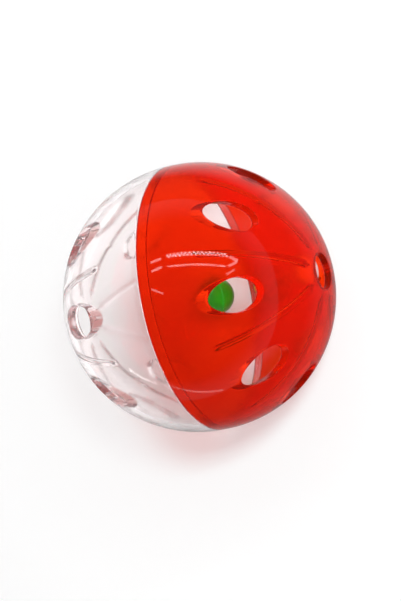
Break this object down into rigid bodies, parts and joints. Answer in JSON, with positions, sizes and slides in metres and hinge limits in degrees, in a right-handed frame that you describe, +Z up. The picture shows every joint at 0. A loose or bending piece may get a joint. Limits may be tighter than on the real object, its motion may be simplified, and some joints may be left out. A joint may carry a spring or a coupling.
{
  "type": "cat bell ball",
  "caption": "Hollow plastic cat toy ball of a clear and a red perforated half shell that nest at the equator, with loose painted jingle bells inside.",
  "frame": {"origin": "centre of the ball, on the polar axis in the plane of the seam", "axes": "+X along the polar axis towards the red pole, +Z up as the ball lies with its bells at the bottom"},
  "size_m": [0.0604, 0.06, 0.06],
  "materials": {
    "clear_plastic": "glossy clear moulded polystyrene with a faint pink tint",
    "red_plastic": "glossy translucent red moulded polystyrene",
    "green_paint": "satin green lacquer on pressed steel",
    "yellow_paint": "satin yellow lacquer on pressed steel",
    "plated_steel": "bright plated steel"
  },
  "bodies": {
    "ball": {"clear_half_shell": "clear_plastic", "red_half_shell": "red_plastic"},
    "green_bell": {"green_bell_upper_cup": "green_paint", "green_bell_lower_cup": "green_paint", "green_bell_loop": "plated_steel"},
    "green_pellet": {"green_bell_pellet": "plated_steel"},
    "yellow_bell": {"yellow_bell_upper_cup": "yellow_paint", "yellow_bell_lower_cup": "yellow_paint", "yellow_bell_loop": "plated_steel"},
    "yellow_pellet": {"yellow_bell_pellet": "plated_steel"}
  },
  "joints": [
    {"name": "green_bell_roll", "type": "hinge", "parent": "ball", "child": "green_bell", "pos_m": [0, 0, 0], "axis": [1, 0, 0], "continuous": true},
    {"name": "green_pellet_roll", "type": "hinge", "parent": "green_bell", "child": "green_pellet", "pos_m": [-0.00628, 0, -0.02319], "axis": [1, 0, 0], "continuous": true},
    {"name": "yellow_bell_roll", "type": "hinge", "parent": "ball", "child": "yellow_bell", "pos_m": [0, 0, 0], "axis": [1, 0, 0], "continuous": true},
    {"name": "yellow_pellet_roll", "type": "hinge", "parent": "yellow_bell", "child": "yellow_pellet", "pos_m": [0.00879, 0, -0.02242], "axis": [1, 0, 0], "continuous": true}
  ]
}
